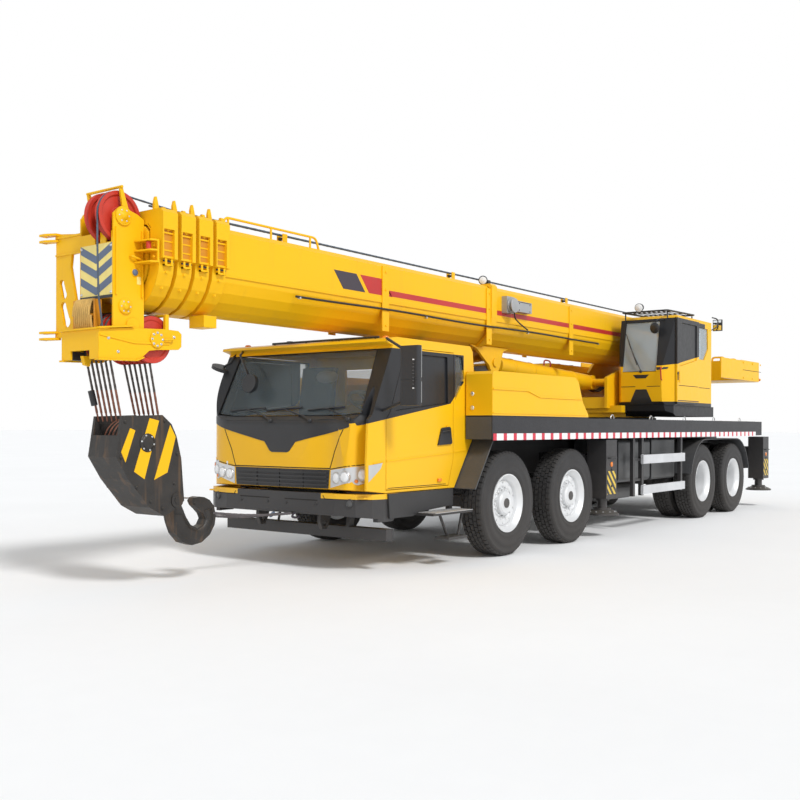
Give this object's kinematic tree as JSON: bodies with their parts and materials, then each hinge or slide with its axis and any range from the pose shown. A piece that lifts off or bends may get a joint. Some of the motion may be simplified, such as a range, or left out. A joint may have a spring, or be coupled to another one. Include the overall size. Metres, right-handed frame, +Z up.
{
  "type": "four-axle truck crane with telescopic boom",
  "caption": "Road-going truck crane: low driver cab in front, slewing superstructure with operator cab, telescopic boom laid level over the cab, hook block lashed in front.",
  "frame": {"origin": "on the ground plane under the centre of the overall bounding box", "axes": "+X forward (travel direction, boom tip), +Y to the machine's left, +Z up"},
  "size_m": [13.09, 2.941, 3.189],
  "materials": {
    "body_yellow": "satin yellow paint with fine road film",
    "chassis_black": "satin black chassis paint",
    "engine_grey": "dull grey paint",
    "deck_plate": "dark grey tread plate",
    "wheel_silver": "silver paint, lightly dusty",
    "tyre": "moulded rubber, dusty",
    "glass": "tinted safety glass",
    "cab_trim": "grained dark plastic and cloth",
    "tank_grey": "grey paint",
    "rail_aluminium": "drawn aluminium",
    "jack_grey": "grey paint with bare steel pad",
    "rod_chrome": "hard chrome",
    "sheave_red": "red paint, worn groove",
    "hook_black": "forged, painted black"
  },
  "bodies": {
    "chassis": {"chassis_frame": "chassis_black", "engine": "engine_grey", "deck": "deck_plate", "driver_cab": "body_yellow", "driver_cab_glass": "glass", "cab_interior": "cab_trim", "front_bumper": "chassis_black", "cab_mirrors": "cab_trim", "side_lockers": "body_yellow", "tanks": "tank_grey", "side_guards": "rail_aluminium", "axles": "chassis_black"},
    "knuckle_front_left": {"knuckle_1l": "chassis_black"},
    "wheel_front_left": {"tyre_1l": "tyre", "wheel_1l": "wheel_silver"},
    "knuckle_front_right": {"knuckle_1r": "chassis_black"},
    "wheel_front_right": {"tyre_1r": "tyre", "wheel_1r": "wheel_silver"},
    "knuckle_second_left": {"knuckle_2l": "chassis_black"},
    "wheel_second_left": {"tyre_2l": "tyre", "wheel_2l": "wheel_silver"},
    "knuckle_second_right": {"knuckle_2r": "chassis_black"},
    "wheel_second_right": {"tyre_2r": "tyre", "wheel_2r": "wheel_silver"},
    "wheel_third_left": {"tyre_3l": "tyre", "wheel_3l": "wheel_silver"},
    "wheel_third_right": {"tyre_3r": "tyre", "wheel_3r": "wheel_silver"},
    "wheel_rear_left": {"tyre_4l": "tyre", "wheel_4l": "wheel_silver"},
    "wheel_rear_right": {"tyre_4r": "tyre", "wheel_4r": "wheel_silver"},
    "outrigger_beam_front_left": {"outrigger_beam_front_left": "body_yellow"},
    "outrigger_jack_front_left": {"outrigger_jack_front_left": "jack_grey"},
    "outrigger_beam_front_right": {"outrigger_beam_front_right": "body_yellow"},
    "outrigger_jack_front_right": {"outrigger_jack_front_right": "jack_grey"},
    "outrigger_beam_rear_left": {"outrigger_beam_rear_left": "body_yellow"},
    "outrigger_jack_rear_left": {"outrigger_jack_rear_left": "jack_grey"},
    "outrigger_beam_rear_right": {"outrigger_beam_rear_right": "body_yellow"},
    "outrigger_jack_rear_right": {"outrigger_jack_rear_right": "jack_grey"},
    "superstructure": {"turntable": "body_yellow", "counterweight": "body_yellow", "winch": "chassis_black", "operator_cab": "body_yellow", "operator_cab_glass": "glass", "operator_seat": "cab_trim"},
    "operator_door": {"operator_door": "body_yellow"},
    "cab_door_left": {"cab_door_left": "body_yellow"},
    "cab_door_right": {"cab_door_right": "body_yellow"},
    "boom_base": {"boom_base": "body_yellow"},
    "lift_cylinder": {"lift_cylinder": "body_yellow"},
    "lift_rod": {"lift_rod": "rod_chrome"},
    "boom_section_2": {"boom_section_2": "body_yellow"},
    "boom_section_3": {"boom_section_3": "body_yellow"},
    "boom_section_4": {"boom_section_4": "body_yellow"},
    "boom_head": {"boom_head": "body_yellow", "head_sheaves": "sheave_red"},
    "hook_falls": {"limit_weight": "chassis_black"},
    "hook_block": {"hook_block": "chassis_black"},
    "hook": {"hook": "hook_black"}
  },
  "joints": [
    {"name": "steer_front_left", "type": "hinge", "parent": "chassis", "child": "knuckle_front_left", "pos_m": [2.245, 0.96, 0.5425], "axis": [0, 0, 1], "range_deg": [-35, 35]},
    {"name": "spin_front_left", "type": "hinge", "parent": "knuckle_front_left", "child": "wheel_front_left", "pos_m": [2.245, 1.148, 0.5425], "axis": [0, 1, 0], "continuous": true},
    {"name": "steer_front_right", "type": "hinge", "parent": "chassis", "child": "knuckle_front_right", "pos_m": [2.245, -0.96, 0.5425], "axis": [0, 0, 1], "range_deg": [-35, 35]},
    {"name": "spin_front_right", "type": "hinge", "parent": "knuckle_front_right", "child": "wheel_front_right", "pos_m": [2.245, -1.148, 0.5425], "axis": [0, 1, 0], "continuous": true},
    {"name": "steer_second_left", "type": "hinge", "parent": "chassis", "child": "knuckle_second_left", "pos_m": [0.805, 0.96, 0.5425], "axis": [0, 0, 1], "range_deg": [-27, 27]},
    {"name": "spin_second_left", "type": "hinge", "parent": "knuckle_second_left", "child": "wheel_second_left", "pos_m": [0.805, 1.148, 0.5425], "axis": [0, 1, 0], "continuous": true},
    {"name": "steer_second_right", "type": "hinge", "parent": "chassis", "child": "knuckle_second_right", "pos_m": [0.805, -0.96, 0.5425], "axis": [0, 0, 1], "range_deg": [-27, 27]},
    {"name": "spin_second_right", "type": "hinge", "parent": "knuckle_second_right", "child": "wheel_second_right", "pos_m": [0.805, -1.148, 0.5425], "axis": [0, 1, 0], "continuous": true},
    {"name": "spin_third_left", "type": "hinge", "parent": "chassis", "child": "wheel_third_left", "pos_m": [-3.305, 1.029, 0.5425], "axis": [0, 1, 0], "continuous": true},
    {"name": "spin_third_right", "type": "hinge", "parent": "chassis", "child": "wheel_third_right", "pos_m": [-3.305, -1.029, 0.5425], "axis": [0, 1, 0], "continuous": true},
    {"name": "spin_rear_left", "type": "hinge", "parent": "chassis", "child": "wheel_rear_left", "pos_m": [-4.65, 1.029, 0.5425], "axis": [0, 1, 0], "continuous": true},
    {"name": "spin_rear_right", "type": "hinge", "parent": "chassis", "child": "wheel_rear_right", "pos_m": [-4.65, -1.029, 0.5425], "axis": [0, 1, 0], "continuous": true},
    {"name": "outrigger_out_front_left", "type": "slide", "parent": "chassis", "child": "outrigger_beam_front_left", "axis": [0, 1, 0], "range_m": [0, 1.75]},
    {"name": "jack_down_front_left", "type": "slide", "parent": "outrigger_beam_front_left", "child": "outrigger_jack_front_left", "axis": [0, 0, -1], "range_m": [0, 0.262]},
    {"name": "outrigger_out_front_right", "type": "slide", "parent": "chassis", "child": "outrigger_beam_front_right", "axis": [0, -1, 0], "range_m": [0, 1.75]},
    {"name": "jack_down_front_right", "type": "slide", "parent": "outrigger_beam_front_right", "child": "outrigger_jack_front_right", "axis": [0, 0, -1], "range_m": [0, 0.262]},
    {"name": "outrigger_out_rear_left", "type": "slide", "parent": "chassis", "child": "outrigger_beam_rear_left", "axis": [0, 1, 0], "range_m": [0, 1.75]},
    {"name": "jack_down_rear_left", "type": "slide", "parent": "outrigger_beam_rear_left", "child": "outrigger_jack_rear_left", "axis": [0, 0, -1], "range_m": [0, 0.262]},
    {"name": "outrigger_out_rear_right", "type": "slide", "parent": "chassis", "child": "outrigger_beam_rear_right", "axis": [0, -1, 0], "range_m": [0, 1.75]},
    {"name": "jack_down_rear_right", "type": "slide", "parent": "outrigger_beam_rear_right", "child": "outrigger_jack_rear_right", "axis": [0, 0, -1], "range_m": [0, 0.262]},
    {"name": "slew", "type": "hinge", "parent": "chassis", "child": "superstructure", "pos_m": [-2.755, 0, 1.5], "axis": [0, 0, 1], "continuous": true},
    {"name": "operator_door_slide", "type": "slide", "parent": "superstructure", "child": "operator_door", "axis": [-1, 0, 0], "range_m": [0, 0.6]},
    {"name": "cab_door_left_hinge", "type": "hinge", "parent": "chassis", "child": "cab_door_left", "pos_m": [4.048, 1.064, 1.2], "axis": [0, 0, -1], "range_deg": [0, 70]},
    {"name": "cab_door_right_hinge", "type": "hinge", "parent": "chassis", "child": "cab_door_right", "pos_m": [4.048, -1.064, 1.2], "axis": [0, 0, 1], "range_deg": [0, 70]},
    {"name": "boom_luff", "type": "hinge", "parent": "superstructure", "child": "boom_base", "pos_m": [-4.105, 0, 2.56], "axis": [0, -1, 0], "range_deg": [0, 80]},
    {"name": "lift_cylinder_foot", "type": "hinge", "parent": "superstructure", "child": "lift_cylinder", "pos_m": [-2.175, 0, 1.985], "axis": [0, -1, 0], "range_deg": [0, 94.63]},
    {"name": "lift_rod_slide", "type": "slide", "parent": "lift_cylinder", "child": "lift_rod", "axis": [0.9989, 0, 0.0465], "range_m": [0, 2.3954]},
    {"name": "telescope_2", "type": "slide", "parent": "boom_base", "child": "boom_section_2", "axis": [1, 0, 0], "range_m": [0, 7.8]},
    {"name": "telescope_3", "type": "slide", "parent": "boom_section_2", "child": "boom_section_3", "axis": [1, 0, 0], "range_m": [0, 7.8]},
    {"name": "telescope_4", "type": "slide", "parent": "boom_section_3", "child": "boom_section_4", "axis": [1, 0, 0], "range_m": [0, 7.8]},
    {"name": "telescope_5", "type": "slide", "parent": "boom_section_4", "child": "boom_head", "axis": [1, 0, 0], "range_m": [0, 7.8]},
    {"name": "hook_swing", "type": "hinge", "parent": "boom_head", "child": "hook_falls", "pos_m": [6.21, 0, 1.87], "axis": [0, 1, 0], "range_deg": [0, 64.05]},
    {"name": "hook_hoist", "type": "slide", "parent": "hook_falls", "child": "hook_block", "axis": [-0.2756, 0, -0.9613], "range_m": [0, 0.28]},
    {"name": "hook_turn", "type": "hinge", "parent": "hook_block", "child": "hook", "pos_m": [5.715, 0, 0.72], "axis": [0, -1, 0], "range_deg": [0, 46.55]}
  ],
  "couplings": [
    {"joint": "steer_front_right", "follows": "steer_front_left", "ratio": 1},
    {"joint": "steer_second_left", "follows": "steer_front_left", "ratio": 0.77},
    {"joint": "steer_second_right", "follows": "steer_front_left", "ratio": 0.77},
    {"joint": "lift_cylinder_foot", "follows": "boom_luff", "ratio": 1.1823},
    {"joint": "lift_rod_slide", "follows": "boom_luff", "m_per_rad": 1.7148},
    {"joint": "telescope_3", "follows": "telescope_2", "ratio": 1},
    {"joint": "telescope_4", "follows": "telescope_2", "ratio": 1},
    {"joint": "telescope_5", "follows": "telescope_2", "ratio": 1},
    {"joint": "hook_swing", "follows": "boom_luff", "ratio": 0.8},
    {"joint": "hook_turn", "follows": "boom_luff", "ratio": 0.58125}
  ]
}
